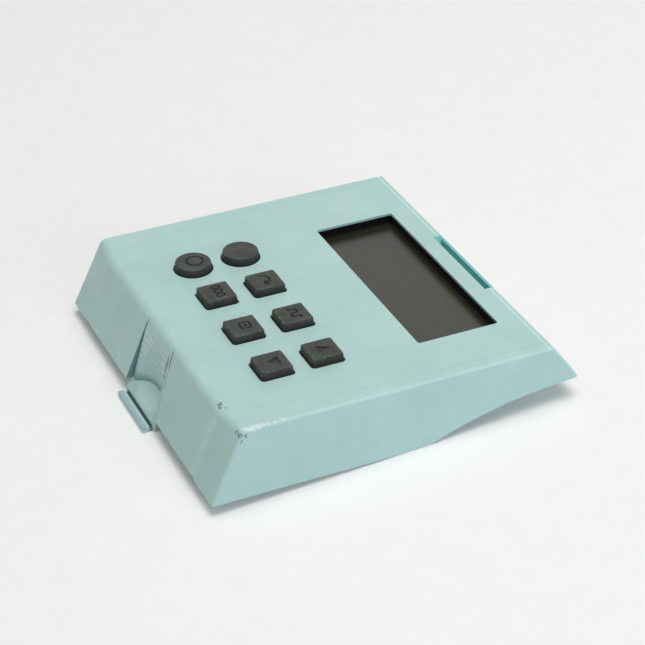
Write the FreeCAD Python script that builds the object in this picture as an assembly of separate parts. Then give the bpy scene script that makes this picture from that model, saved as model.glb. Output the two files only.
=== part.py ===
import FreeCAD, Part
import math
import os

# Clip-on operator panel of a motor drive, in millimetres.
# X runs across the panel, Y from the key end to the display end, Z out of the face.
# The rim that seats on the drive lies in the plane z = 0, and the origin is the middle of the footprint.

V = FreeCAD.Vector

# Housing: outer form
rim_width = 73.0            # across the side walls at the rim
length = 71.7               # key-end rim to display-end tip
depth = 13.1                # rim plane to face
side_draft = 3.5            # degrees each side wall leans in
end_lean = 17.4             # degrees the key-end wall leans in
nose_lean = 38.0            # degrees the display-end wall leans out towards the tip
end_round = 3.0             # radius between key-end wall and face
nose_round = 0.8            # radius between display-end wall and face
side_round = 0.6            # radius along the side walls' edges
tip_round = 0.2             # radius of the thin display-end edge
facet_rim = 9.7             # width of the corner facet at the rim
facet_face = 8.3            # width of the corner facet at the face
facet_back = 2.3            # set-back of the facet's outer corner at the face
nose_height = 7.02          # height of the display-end wall
rise_angle = 32.0           # degrees, steep part of the rim's rise
tip_angle = 7.5             # degrees, gentle part of the rise up to the tip
tip_run = 22.95             # length of the gentle part
hump_round = 3.5            # radius of the hump where the rise starts
rise_straight = 0.43        # straight stretch between the hump and the hollow after it
wall = 1.5                  # moulded wall, all round

# Face openings beside the middle
layout_x = 2.0              # centre line of hook slot and plug
window_x = 1.68             # middle of the window
window_margin = 14.18       # window to rim on each side, before the offset of its middle
window_height = 16.2
window_from_edge = 12.57    # display-end edge of the face to the middle of the window
window_corner = 0.5
window_lip = 0.5            # face thickness round the window
hook_slot_length = 21.3     # slot that takes the drive's hook
hook_slot_width = 1.15
hook_slot_from_edge = 1.02  # display-end edge of the face to the slot's near side
hook_slot_deep = 3.8        # pocket depth below the face
hook_lip_drop = 0.9         # the end wall is this much lower along the slot
hook_lip_slant = 1.4        # length of the slanted ends of that step
pocket_wall = 1.0           # wall round the hook pocket

# Keys in two rows: a column of round keys, then three columns of square ones
key_columns = 4
key_pitch_x = 12.95
key_pitch_round = 12.0      # round column to the first square one
key_pitch_y = 9.71
key_across = 5.29           # centre line to the middle column of square keys
key_row_from_end = 18.57    # key-end rim to the nearer row
key_square = 6.2            # width of a square key in the face
key_square_corner = 0.6
key_round = 7.15            # diameter of a round key in the face
key_top_inset = 0.13        # key top inside its foot, each side
key_gap = 0.25              # key to its opening, all round
key_rise = 1.55             # key top above the face
key_top_round = 0.25
key_travel = 1.0
flange_out = 0.7            # flange beyond the cap, under the face
flange_thick = 0.9
flange_gap = 0.3            # flange to the face's underside
plunger_radius = 1.9
pill_radius = 1.6
pill_thick = 0.5
web_foot_radius = 3.5       # inner radius of the rubber cone on the sheet
web_head_radius = 2.5       # inner radius of the rubber cone under the flange
web_thick = 0.4
sheet_thick = 1.0
sheet_margin_x = 5.6        # sheet beyond the outer key centres
sheet_margin_y = 4.3
sheet_corner = 1.5

# Display
window_recess = 2.2         # face to display glass
pane_thick = 0.95           # each of the two panes
glass_margin = 2.5          # front pane beyond the window, across
glass_border = 1.7          # front pane beyond the window, along
contact_ledge = 2.2         # front pane beyond the rear pane, along
backing_thick = 0.9         # foam pad between rear pane and board
backing_inset = 0.4
zebra_thick = 1.5
zebra_inset = 1.5           # strip shorter than the glass at each end
frame_wall = 0.6
frame_gap = 0.1             # glass to frame
frame_lip = 0.3             # frame above the glass
frame_lip_in = 0.6          # frame over the glass edge
gasket_inset = 0.1          # gasket to frame lip and to its seat
gasket_back = 0.15          # gasket behind the window's edge

# Board
board_thick = 1.2
board_gap = 0.5             # board to side walls
board_setback = 7.4         # key-end rim to board
board_corner = 1.0
screw_boss_radius = 2.4
board_boss_room = 1.1       # board boss to side wall
board_boss_from_end = 20.85 # key-end rim to the nearer board bosses
board_boss_from_slot = 9.85 # hook slot to the farther board bosses
notch_gap = 0.6             # board to the cover bosses

# Fasteners
screw_radius = 1.0
pilot_gap = 0.03            # pilot hole beyond the screw, radially
hole_gap = 0.25             # clearance hole beyond the screw, radially
board_screw_head = 1.9      # head radius
board_screw_head_high = 1.2
board_screw_bevel = 0.5     # bevel round the head
board_screw_bite = 2.6      # length in the boss
cover_screw_head = 2.0      # head radius
cover_screw_head_high = 1.1
cover_screw_bite = 5.0
cover_boss_room = 2.6       # cover boss to side wall
cover_boss_inset = 9.3      # key-end rim to screw axis
drive_slot = 0.5            # cross slot of the screw heads
drive_slot_deep = 0.6

# Rear cover
cover_thick = 1.4
cover_gap = 0.15            # cover to walls
tab_x = 22.0                # two tabs hook into the display-end wall
tab_width = 6.0
tab_thick = 0.9
tab_reach = 0.7
tab_gap = 0.12

# Latch: a tongue cut free from the key-end wall
latch_x = 1.5
latch_root_down = 1.8       # face to the bending line
latch_half_rim = 7.7        # half width of the slot at the rim
latch_half_root = 6.85      # half width of the slot at the bending line
latch_slit = 0.4
slit_top_down = 0.65        # face to the upper ends of the two slits
slit_deep = 0.9             # depth of the slits above the bending line
setback_top = 10.5          # below this height the tongue stands back from the wall
setback_rim = 1.26          # how far it stands back at the rim
scoop_radius = 10.0         # hollow for the thumb
scoop_depth = 3.45          # key-end rim to the deepest line of the hollow
ledge_height = 1.6          # thumb ledge at the deepest line
ledge_slope = 33.0          # degrees
ledge_thick = 1.4
lip_reach = 2.05            # catch lip beyond the key-end rim
lip_drop = 2.6              # catch lip below the rim plane
lip_thick = 1.15
lip_wide = 1.3
lip_half = 6.6              # half length of the lip
lip_round = 0.4             # radius of the lip's outer edge
groove_width = 0.5
groove_deep = 0.65          # groove below the lip's top
latch_room = 1.6            # cover cut-out beyond the latch

# Plug on the back of the board
plug_pitch = 2.0
plug_columns = 5
plug_from_end = 11.95       # key-end rim to the middle of the plug
plug_wall = 0.8
plug_room_x = 2.2           # cavity beyond the outer pins, along X
plug_room_y = 1.5           # cavity beyond the outer pins, along Y
plug_floor = 1.5
plug_below_rim = 0.3        # mouth set back from the rim plane
plug_gap = 0.3              # plug to cover opening
pin_side = 0.5
pin_setback = 1.0           # pin tip inside the mouth
pin_tail = 0.6              # pin above the board
pin_gap = 0.02              # pin to its hole

# Parts under the board, with places across from the keys' centre line and along from the key-end rim
chip_standoff = 0.1         # body below the board
lead_reach = 1.0            # lead beyond the body
lead_foot = 0.5             # flat of the lead on the board
lead_shoulder = 0.35        # flat of the lead at the body
lead_thick = 0.15
lead_width = 0.35
CHIPS = {
    "microcontroller": dict(across=2.0, along=29.85, width=10.0, height=10.0, tall=1.6, pitch=0.8,
                            lead_count_x=11, lead_count_y=11),
    "memory_chip": dict(across=-11.0, along=25.85, width=4.9, height=3.9, tall=1.5, pitch=1.27,
                        lead_count_x=4, lead_count_y=0),
    "interface_chip": dict(across=-18.0, along=17.85, width=9.9, height=3.9, tall=1.5, pitch=1.27,
                           lead_count_x=8, lead_count_y=0),
    "voltage_regulator": dict(across=16.0, along=15.85, width=6.5, height=3.5, tall=1.6, pitch=2.3,
                              lead_count_x=3, lead_count_y=0),
}
crystal_across = -11.0
crystal_along = 33.85
crystal_width = 8.0
crystal_height = 3.4
crystal_tall = 2.4
crystal_corner = 1.6
can_across = 14.0           # first capacitor
can_along = 23.85
can_pitch = 6.5
can_count = 2
can_radius = 2.0
can_tall = 3.6
can_bevel = 0.3
can_base = 4.4
can_base_thick = 0.5
can_base_corner = 0.5

# Levels and places worked out from the sizes above
window_width = rim_width - 2 * window_margin
key_end = -length / 2
tip = length / 2
face_under = depth - wall
glass_top = depth - window_recess
pane_split = glass_top - pane_thick
glass_bottom = pane_split - pane_thick
board_top = glass_bottom - backing_thick
board_under = board_top - board_thick
sheet_top = board_top + sheet_thick
flange_top = face_under - flange_gap
flange_under = flange_top - flange_thick
tip_height = depth - nose_height
rise_height = tip_height - tip_run * math.tan(math.radians(tip_angle))
rise_end = tip - tip_run
rise_start = rise_end - rise_height / math.tan(math.radians(rise_angle))
steep = rise_height / math.sin(math.radians(rise_angle))
hump_tangent = hump_round * math.tan(math.radians(rise_angle / 2))
hollow_tangent = steep - hump_tangent - rise_straight
hollow_round = hollow_tangent / math.tan(math.radians((rise_angle - tip_angle) / 2))
nose_run = math.tan(math.radians(nose_lean))
nose_top = tip - nose_height * nose_run
window_y = nose_top - window_from_edge
hook_slot_y = nose_top - hook_slot_from_edge
key_row_y = key_end + key_row_from_end
plug_y = key_end + plug_from_end
latch_root = depth - latch_root_down
latch_back = key_end + scoop_depth + 2 * wall
slit_top = depth - slit_top_down
boss_limit = rim_width / 2 - board_top * math.tan(math.radians(side_draft)) - wall - screw_boss_radius
board_boss_x = boss_limit - board_boss_room
cover_boss_x = boss_limit - cover_boss_room
board_boss_near_y = key_end + board_boss_from_end
board_boss_far_y = hook_slot_y - board_boss_from_slot
far_clear = 6.0             # helper solids reach this far past what they cut
plan_far = tip + far_clear
low_clear = -lip_drop - far_clear
beyond = rim_width / 2 + far_clear
match = 0.01                # closeness that picks an edge
flat_limit = 0.00001        # four corners this close to a plane make a flat wall
quarter_turn = 90           # degrees


def box(x0, x1, y0, y1, z0, z1):
    """Box between two corners."""
    return Part.makeBox(x1 - x0, y1 - y0, z1 - z0, V(x0, y0, z0))


def cylinder(x, y, radius, z0, z1):
    """Upright cylinder."""
    return Part.makeCylinder(radius, z1 - z0, V(x, y, z0))


def outline(corners, place):
    """Closed wire through corners (u, v, radius), each rounded by its own radius."""
    ends = []
    edges = []
    count = len(corners)
    for i in range(count):
        u, v, radius = corners[i]
        here = place(u, v)
        back = place(*corners[i - 1][:2]).sub(here)
        ahead = place(*corners[(i + 1) % count][:2]).sub(here)
        back.normalize()
        ahead.normalize()
        if radius == 0:
            ends.append((here, here))
            continue
        half = back.getAngle(ahead) / 2
        start = here.add(V(back).multiply(radius / math.tan(half)))
        end = here.add(V(ahead).multiply(radius / math.tan(half)))
        inward = back.add(ahead)
        inward.normalize()
        middle = here.add(inward.multiply(radius / math.sin(half) - radius))
        edges.append(Part.Arc(start, middle, end).toShape())
        ends.append((start, end))
    for i in range(count):
        leave = ends[i][1]
        arrive = ends[(i + 1) % count][0]
        edges.append(Part.LineSegment(leave, arrive).toShape())
    return Part.Wire(Part.__sortEdges__(edges))


def prism_across(corners, x0, x1):
    """Profile in the YZ plane carried along X."""
    wire = outline(corners, lambda y, z: V(x0, y, z))
    return Part.Face(wire).extrude(V(x1 - x0, 0, 0))


def prism_along(corners, y0, y1):
    """Profile in the XZ plane carried along Y."""
    wire = outline(corners, lambda x, z: V(x, y0, z))
    return Part.Face(wire).extrude(V(0, y1 - y0, 0))


def prism_up(corners, z0, z1):
    """Plan outline carried up."""
    wire = outline(corners, lambda x, y: V(x, y, z0))
    return Part.Face(wire).extrude(V(0, 0, z1 - z0))


def rectangle(x, y, width, height, corner):
    """Plan corners of a rounded rectangle."""
    a = width / 2
    b = height / 2
    return [(x - a, y - b, corner), (x + a, y - b, corner), (x + a, y + b, corner), (x - a, y + b, corner)]


def plan(z, inset):
    """Corners of the six-sided plan of the walls at height z, moved in by inset."""
    share = z / depth
    side = side_wall_x(z)
    end = wall_y(z)
    facet = side - facet_rim - share * (facet_face - facet_rim)
    corner = end + share * facet_back
    points = [(-side, corner), (-facet, end), (facet, end),
              (side, corner), (side, plan_far), (-side, plan_far)]
    moved = []
    for i in range(len(points)):
        normals = []
        for a, b in ((points[i - 1], points[i]), (points[i], points[(i + 1) % len(points)])):
            run = math.hypot(b[0] - a[0], b[1] - a[1])
            normals.append(((a[1] - b[1]) / run, (b[0] - a[0]) / run))
        (px, py), (qx, qy) = normals
        reach = inset / (1 + px * qx + py * qy)
        moved.append(V(points[i][0] + (px + qx) * reach, points[i][1] + (py + qy) * reach, z))
    return moved


def wall_face(a, b, c, d):
    """Wall between the lower edge a-b and the upper edge d-c, twisted only where it has to be."""
    around = Part.makePolygon([a, b, c, d, a])
    if around.findPlane(flat_limit):
        return Part.Face(around)
    return Part.makeRuledSurface(Part.makeLine(a, b), Part.makeLine(d, c))


def walls(inset, z0, z1):
    """Solid between two heights inside the leaning walls."""
    low = plan(z0, inset)
    high = plan(z1, inset)
    faces = [Part.Face(Part.makePolygon(ring + ring[:1])) for ring in (low, high)]
    for i in range(len(low)):
        faces.append(wall_face(low[i - 1], low[i], high[i], high[i - 1]))
    shell = Part.makeShell(faces)
    shell.sewShape()
    return Part.makeSolid(shell)


def underside(raise_by):
    """Corners of the rim line from key end to tip, seen from the side."""
    return [(key_end - far_clear, raise_by, 0),
            (rise_start, raise_by, hump_round),
            (rise_end, rise_height + raise_by, hollow_round)]


def nose(z, inset):
    """Y of the display-end wall at height z, moved in by inset."""
    return nose_top + (depth - z) * nose_run - inset / math.cos(math.radians(nose_lean))


def edges_between(solid, test):
    """Edges whose two ends and middle pass a test."""
    found = []
    for edge in solid.Edges:
        middle = edge.valueAt((edge.FirstParameter + edge.LastParameter) / 2)
        points = [vertex.Point for vertex in edge.Vertexes] + [middle]
        if all(test(p) for p in points):
            found.append(edge)
    return found


def side_wall_x(z):
    """Half width of the housing at height z."""
    return rim_width / 2 - z * math.tan(math.radians(side_draft))


def outer_form():
    """Outer shape of the moulded housing, solid, with its edges rounded."""
    side_view = underside(0) + [(tip, tip_height, 0), (nose_top, depth, nose_round),
                                (key_end - far_clear, depth, 0)]
    solid = walls(0, 0, depth).common(prism_across(side_view, -beyond, beyond))
    end_top = wall_y(depth) + facet_back

    def on_end_edge(p):
        return abs(p.z - depth) < match and p.y < end_top + match

    def on_side_edge(p):
        on_wall = abs(abs(p.x) - side_wall_x(p.z)) < match
        return on_wall and (p.y < end_top + end_round or p.z > tip_height - match)

    def on_tip_edge(p):
        return abs(p.z - tip_height) < match and p.y > tip - match

    solid = solid.makeFillet(end_round, edges_between(solid, on_end_edge))
    chain = [edge for edge in edges_between(solid, on_side_edge)
             if max(vertex.Z for vertex in edge.Vertexes) > match]
    solid = solid.makeFillet(side_round, chain)
    return solid.makeFillet(tip_round, edges_between(solid, on_tip_edge))


def cavity(inset, ceiling):
    """Inside of the housing, open below."""
    side_view = [(key_end - far_clear, low_clear, 0),
                 (nose(low_clear, inset), low_clear, 0),
                 (nose(ceiling, inset), ceiling, 0),
                 (key_end - far_clear, ceiling, 0)]
    return walls(inset, low_clear, ceiling).common(prism_across(side_view, -beyond, beyond))


def key_centre(column, row):
    """Plan position of a key: round keys in column 0, square ones in the next, row 0 nearer the key end."""
    x = layout_x + key_across + (max(column, 1) - key_columns / 2) * key_pitch_x
    if column == 0:
        x -= key_pitch_round
    return x, key_row_y + row * key_pitch_y


def key_wire(x, y, is_round, grow, z):
    """Outline of a key at height z, grown all round."""
    if is_round:
        return Part.Wire(Part.makeCircle(key_round / 2 + grow, V(x, y, z)))
    side = key_square + 2 * grow
    return outline(rectangle(x, y, side, side, key_square_corner + grow), lambda u, v: V(u, v, z))


def key_solid(x, y, is_round, grow, z0, z1):
    """Upright solid with a key's plan, grown all round."""
    return Part.Face(key_wire(x, y, is_round, grow, z0)).extrude(V(0, 0, z1 - z0))


def wall_y(z):
    """Y of the key-end wall at height z."""
    return key_end + z * math.tan(math.radians(end_lean))


def latch_prism(shrink, top, back):
    """Slot of the latch in the key-end wall up to a height, narrowed by shrink each side."""
    rim = latch_half_rim - shrink
    narrow = rim + (latch_half_root - latch_half_rim) * top / latch_root
    corners = [(latch_x - rim, low_clear, 0), (latch_x + rim, low_clear, 0), (latch_x + rim, 0, 0),
               (latch_x + narrow, top, 0), (latch_x - narrow, top, 0), (latch_x - rim, 0, 0)]
    return prism_along(corners, key_end - far_clear, back)


def screw_places():
    """Plan positions of the board screws."""
    return [(sign * board_boss_x, y) for sign in (-1, 1) for y in (board_boss_near_y, board_boss_far_y)]


def cover_screw_places():
    """Plan positions of the cover screws."""
    return [(sign * cover_boss_x, key_end + cover_boss_inset) for sign in (-1, 1)]


def hook_slot_cut():
    """Slot through the face and the lowered stretch of the end wall behind it."""
    half = hook_slot_length / 2
    far = hook_slot_y + hook_slot_width
    slot = box(layout_x - half, layout_x + half, hook_slot_y, far, depth - hook_slot_deep, depth + far_clear)
    low = depth - hook_lip_drop
    wide = half + hook_lip_slant
    step = prism_along([(layout_x - half, low, 0), (layout_x + half, low, 0),
                        (layout_x + wide, depth + hook_lip_drop, 0),
                        (layout_x - wide, depth + hook_lip_drop, 0)], far - wall / 2, plan_far)
    return slot.fuse(step.common(box(-rim_width, rim_width, far, plan_far, 0, 2 * depth)))


def front_housing():
    """Moulded shell with window, key openings, hook slot, latch slot and screw bosses."""
    shell = OUTER.cut(cavity(wall, face_under))
    inside = []
    for x, y in screw_places():
        inside.append(cylinder(x, y, screw_boss_radius, board_top, face_under))
    for x, y in cover_screw_places():
        inside.append(cylinder(x, y, screw_boss_radius, cover_thick, face_under))
    half = hook_slot_length / 2 + pocket_wall
    inside.append(box(layout_x - half, layout_x + half, hook_slot_y - pocket_wall, tip,
                      depth - hook_slot_deep - pocket_wall, face_under))
    for part in inside:
        shell = shell.fuse(part.common(OUTER))
    slit_back = wall_y(slit_top) + slit_deep
    slits = latch_prism(0, slit_top, slit_back).cut(latch_prism(latch_slit, slit_top, slit_back))
    cuts = [hook_slot_cut(), latch_prism(0, latch_root, latch_back), slits]
    cuts.append(prism_up(rectangle(window_x, window_y, window_width, window_height, window_corner),
                         glass_top, depth + far_clear))
    cuts.append(prism_up(gasket_outline(gasket_inset), face_under, depth - window_lip))
    for name, column, row, is_round in KEYS:
        x, y = key_centre(column, row)
        cuts.append(key_solid(x, y, is_round, key_gap, glass_top, depth + far_clear))
    pilot = screw_radius + pilot_gap
    for x, y in screw_places():
        cuts.append(cylinder(x, y, pilot, board_top, board_top + board_screw_bite + pilot_gap))
    for x, y in cover_screw_places():
        cuts.append(cylinder(x, y, pilot, cover_thick, cover_thick + cover_screw_bite + pilot_gap))
    for tab in cover_tabs(tab_gap):
        cuts.append(tab)
    for cut in cuts:
        shell = shell.cut(cut)
    return shell.removeSplitter()


def latch_tongue():
    """Sprung tongue with thumb hollow, ledge and catch lip."""
    deep = key_end + scoop_depth
    axis_y = deep - scoop_radius
    hollow = cylinder(latch_x, axis_y, scoop_radius, low_clear, depth)
    back = cylinder(latch_x, axis_y, scoop_radius + wall, low_clear, depth)
    setback = prism_across([(wall_y(setback_top), setback_top, 0), (key_end + setback_rim, 0, 0),
                            (key_end + setback_rim, low_clear, 0), (key_end - far_clear, low_clear, 0),
                            (key_end - far_clear, setback_top, 0)], -beyond, beyond)
    panel = OUTER.common(latch_prism(latch_slit, latch_root, latch_back)).cut(hollow).cut(setback)
    panel = panel.cut(cavity(wall, face_under).cut(back))
    fall = math.tan(math.radians(ledge_slope))
    lip_out = key_end - lip_reach
    lip_in = lip_out + lip_wide
    groove = lip_in + groove_width
    lip_top = lip_thick - lip_drop
    inner = deep + wall
    drop = ledge_thick / math.cos(math.radians(ledge_slope))
    turn = deep - (ledge_height - drop + lip_drop) / fall
    side_view = [(inner, ledge_height + (inner - deep) * fall, 0),
                 (groove, ledge_height - (deep - groove) * fall, 0),
                 (groove, lip_top - groove_deep, 0),
                 (lip_in, lip_top - groove_deep, 0),
                 (lip_in, lip_top, 0),
                 (lip_out, lip_top, lip_round),
                 (lip_out, -lip_drop, 0),
                 (turn, -lip_drop, 0),
                 (inner, ledge_height - drop + (inner - deep) * fall, 0)]
    half = latch_half_rim - latch_slit
    foot = prism_across(side_view, latch_x - half, latch_x + half)
    front = lip_out - far_clear
    lip_limit = prism_up([(latch_x - lip_half, front, 0), (latch_x + lip_half, front, 0),
                          (latch_x + lip_half, groove, 0), (latch_x + half, groove + groove_width, 0),
                          (latch_x + half, inner, 0), (latch_x - half, inner, 0),
                          (latch_x - half, groove + groove_width, 0), (latch_x - lip_half, groove, 0)],
                         low_clear, depth)
    return panel.fuse(foot.common(back).common(lip_limit)).removeSplitter()


def key_cap(column, row, is_round):
    """Rubber key: cap through the face, flange under it, plunger below."""
    x, y = key_centre(column, row)
    top = depth + key_rise
    rings = [key_wire(x, y, is_round, 0, depth), key_wire(x, y, is_round, -key_top_inset, top)]
    cap = Part.makeLoft(rings, True, True)
    cap = cap.makeFillet(key_top_round, edges_between(cap, lambda p: p.z > top - match))
    stem = key_solid(x, y, is_round, 0, flange_under, depth)
    flange = key_solid(x, y, is_round, flange_out, flange_under, flange_top)
    plunger = cylinder(x, y, plunger_radius, board_top + key_travel + pill_thick, flange_under)
    return cap.fuse([stem, flange, plunger]).removeSplitter()


def key_pill(column, row):
    """Carbon contact pill on the end of the plunger."""
    x, y = key_centre(column, row)
    return cylinder(x, y, pill_radius, board_top + key_travel, board_top + key_travel + pill_thick)


def key_web(column, row):
    """Thin rubber cone that springs the key back."""
    x, y = key_centre(column, row)
    profile = [(web_foot_radius, sheet_top), (web_foot_radius + web_thick, sheet_top),
               (web_head_radius + web_thick, flange_under), (web_head_radius, flange_under)]
    points = [V(x + r, y, z) for r, z in profile]
    face = Part.Face(Part.makePolygon(points + points[:1]))
    return face.revolve(V(x, y, 0), V(0, 0, 1), 360)


def keypad_sheet():
    """Rubber sheet on the board with a hole under each key."""
    x0, y0 = key_centre(0, 0)
    x1, y1 = key_centre(key_columns - 1, 1)
    width = x1 - x0 + 2 * sheet_margin_x
    height = y1 - y0 + 2 * sheet_margin_y
    plate = rectangle((x0 + x1) / 2, (y0 + y1) / 2, width, height, sheet_corner)
    sheet = prism_up(plate, board_top, sheet_top)
    for name, column, row, is_round in KEYS:
        x, y = key_centre(column, row)
        sheet = sheet.cut(cylinder(x, y, web_foot_radius, board_top, sheet_top))
    return sheet


def glass_size():
    """Width and height of the front pane."""
    return window_width + 2 * glass_margin, window_height + 2 * glass_border


def lcd_glass():
    """Two bonded panes, the front one overhanging along both long edges."""
    width, height = glass_size()
    front = prism_up(rectangle(window_x, window_y, width, height, 0), pane_split, glass_top)
    rear = prism_up(rectangle(window_x, window_y, width, height - 2 * contact_ledge, 0),
                    glass_bottom, pane_split)
    return front.fuse(rear).removeSplitter()


def lcd_backing():
    """Foam pad that carries the rear pane on the board."""
    width, height = glass_size()
    pad = rectangle(window_x, window_y, width - 2 * backing_inset,
                    height - 2 * contact_ledge - 2 * backing_inset, 0)
    return prism_up(pad, board_top, glass_bottom)


def zebra_strips():
    """Two striped contact rubbers between the pane's ledges and the board."""
    width, height = glass_size()
    strips = []
    for sign in (-1, 1):
        y = window_y + sign * (height / 2 - contact_ledge / 2)
        strip = rectangle(window_x, y, width - 2 * zebra_inset, zebra_thick, 0)
        strips.append(prism_up(strip, board_top, pane_split))
    return Part.makeCompound(strips)


def lcd_frame():
    """Plastic frame that holds the glass down on the board."""
    width, height = glass_size()
    ring = 2 * frame_gap + 2 * frame_wall
    frame = prism_up(rectangle(window_x, window_y, width + ring, height + ring, frame_wall),
                     board_top, glass_top + frame_lip)
    well = rectangle(window_x, window_y, width + 2 * frame_gap, height + 2 * frame_gap, 0)
    mouth = rectangle(window_x, window_y, width - 2 * frame_lip_in, height - 2 * frame_lip_in, 0)
    frame = frame.cut(prism_up(well, board_top, glass_top))
    return frame.cut(prism_up(mouth, board_top, depth))


def gasket_outline(grow):
    """Plan corners of the gasket's outside, grown all round."""
    width, height = glass_size()
    inset = 2 * frame_lip_in + 2 * gasket_inset - 2 * grow
    return rectangle(window_x, window_y, width - inset, height - inset, 0)


def dust_gasket():
    """Black foam ring on the glass, let into the face round the window."""
    top = depth - window_lip
    hole = rectangle(window_x, window_y, window_width + 2 * gasket_back, window_height + 2 * gasket_back,
                     window_corner)
    return prism_up(gasket_outline(0), glass_top, top).cut(prism_up(hole, glass_top, top))


def main_board():
    """Circuit board with screw holes, pin holes and corner notches for the cover bosses."""
    half = side_wall_x(board_top) - wall - board_gap
    near = key_end + board_setback
    far = hook_slot_y - pocket_wall - board_gap
    notch_x = cover_boss_x - screw_boss_radius - notch_gap
    notch_y = key_end + cover_boss_inset + screw_boss_radius + notch_gap
    corners = [(-notch_x, near, board_corner), (notch_x, near, board_corner), (notch_x, notch_y, 0),
               (half, notch_y, board_corner), (half, far, board_corner), (-half, far, board_corner),
               (-half, notch_y, board_corner), (-notch_x, notch_y, 0)]
    board = prism_up(corners, board_under, board_top)
    for x, y in screw_places():
        board = board.cut(cylinder(x, y, screw_radius + hole_gap, board_under, board_top))
    hole = pin_side / 2 + pin_gap
    for x, y in pin_places():
        board = board.cut(box(x - hole, x + hole, y - hole, y + hole, board_under, board_top))
    return board


def pin_places():
    """Plan positions of the plug's pins."""
    return [(layout_x + (i - (plug_columns - 1) / 2) * plug_pitch, plug_y + sign * plug_pitch / 2)
            for i in range(plug_columns) for sign in (-1, 1)]


def plug_size():
    """Inner width and height of the plug's cavity."""
    return (plug_columns - 1) * plug_pitch + 2 * plug_room_x, plug_pitch + 2 * plug_room_y


def connector_shroud():
    """Box header under the board, open at the back of the panel, with a key slot."""
    width, height = plug_size()
    body = prism_up(rectangle(layout_x, plug_y, width + 2 * plug_wall, height + 2 * plug_wall, 0),
                    plug_below_rim, board_under)
    body = body.cut(prism_up(rectangle(layout_x, plug_y, width, height, 0),
                             plug_below_rim, board_under - plug_floor))
    body = body.cut(box(layout_x - plug_pitch, layout_x + plug_pitch, plug_y, plug_y + height,
                        plug_below_rim, board_under - plug_floor))
    hole = pin_side / 2 + pin_gap
    for x, y in pin_places():
        body = body.cut(box(x - hole, x + hole, y - hole, y + hole, plug_below_rim, board_under))
    return body


def connector_pins():
    """Square pins of the plug, soldered through the board."""
    half = pin_side / 2
    low = plug_below_rim + pin_setback
    high = board_top + pin_tail
    pins = [box(x - half, x + half, y - half, y + half, low, high) for x, y in pin_places()]
    return Part.makeCompound(pins)


def cover_tabs(grow):
    """Tabs at the cover's display end, grown all round for their pockets."""
    tabs = []
    level = tip_height + cover_thick - (tip - nose(tip_height, wall)) * math.tan(math.radians(tip_angle))
    reach = nose(level + tab_thick / 2, wall) + tab_reach
    for sign in (-1, 1):
        x = sign * tab_x
        tabs.append(box(x - tab_width / 2 - grow, x + tab_width / 2 + grow, reach - 2 * wall - tab_reach,
                        reach + grow, level - tab_thick / 2 - grow, level + tab_thick / 2 + grow))
    return tabs


def rear_cover():
    """Moulded back that follows the rim, with tabs, plug opening and latch cut-out."""
    inset = wall + cover_gap
    gentle = math.tan(math.radians(tip_angle))
    end_height = rise_height + (plan_far - rise_end) * gentle
    low = underside(0) + [(plan_far, end_height, 0)]
    high = underside(cover_thick) + [(plan_far, end_height + cover_thick, 0)]
    plate = prism_across(low + high[::-1], -beyond, beyond).common(cavity(inset, face_under))
    for tab in cover_tabs(0):
        plate = plate.fuse(tab)
    width, height = plug_size()
    around = 2 * plug_wall + 2 * plug_gap
    cuts = [prism_up(rectangle(layout_x, plug_y, width + around, height + around, 0), low_clear, cover_thick)]
    room = latch_half_rim + latch_room / 2
    cuts.append(box(latch_x - room, latch_x + room, key_end - far_clear,
                    key_end + scoop_depth + wall + latch_room, low_clear, cover_thick + wall))
    for x, y in cover_screw_places():
        cuts.append(cylinder(x, y, screw_radius + hole_gap, low_clear, cover_thick))
        cuts.append(Part.makeCone(cover_screw_head + hole_gap, screw_radius + hole_gap, cover_screw_head_high,
                                  V(x, y, 0)))
    for cut in cuts:
        plate = plate.cut(cut)
    return plate.removeSplitter()


def cross_slot(x, y, radius, z0, z1):
    """Cross recess of a screw head."""
    half = drive_slot / 2
    return box(x - radius, x + radius, y - half, y + half, z0, z1).fuse(
        box(x - half, x + half, y - radius, y + radius, z0, z1))


def board_screws():
    """Four pan-head screws that hold the board on its bosses."""
    screws = []
    for x, y in screw_places():
        head = cylinder(x, y, board_screw_head, board_under - board_screw_head_high, board_under)
        rim = edges_between(head, lambda p: p.z < board_under - board_screw_head_high + match)
        head = head.makeChamfer(board_screw_bevel, rim)
        shank = cylinder(x, y, screw_radius, board_under, board_top + board_screw_bite)
        slot = cross_slot(x, y, board_screw_head / 2, board_under - board_screw_head_high,
                          board_under - board_screw_head_high + drive_slot_deep)
        screws.append(head.fuse(shank).cut(slot))
    return Part.makeCompound(screws)


def cover_screws():
    """Two countersunk screws from the back into the key-end bosses."""
    screws = []
    for x, y in cover_screw_places():
        head = Part.makeCone(cover_screw_head, screw_radius, cover_screw_head_high, V(x, y, 0))
        shank = cylinder(x, y, screw_radius, cover_screw_head_high, cover_thick + cover_screw_bite)
        screws.append(head.fuse(shank).cut(cross_slot(x, y, cover_screw_head / 2, 0, drive_slot_deep)))
    return Part.makeCompound(screws)


def under_board(across, along):
    """Plan position of a part under the board."""
    return layout_x + across, key_end + along


def lead(x, y, turn, height):
    """Bent lead from a body's side to the board, turned about the upright axis."""
    middle = board_under - height / 2
    bend = lead_reach - lead_foot
    profile = [(lead_reach, board_under), (bend, board_under), (lead_shoulder, middle), (0, middle),
               (0, middle - lead_thick), (lead_shoulder + lead_thick, middle - lead_thick),
               (bend + lead_thick, board_under - lead_thick), (lead_reach, board_under - lead_thick)]
    points = [V(u, -lead_width / 2, z) for u, z in profile]
    solid = Part.Face(Part.makePolygon(points + points[:1])).extrude(V(0, lead_width, 0))
    solid.rotate(V(0, 0, 0), V(0, 0, 1), turn)
    solid.translate(V(x, y, 0))
    return solid


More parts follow.
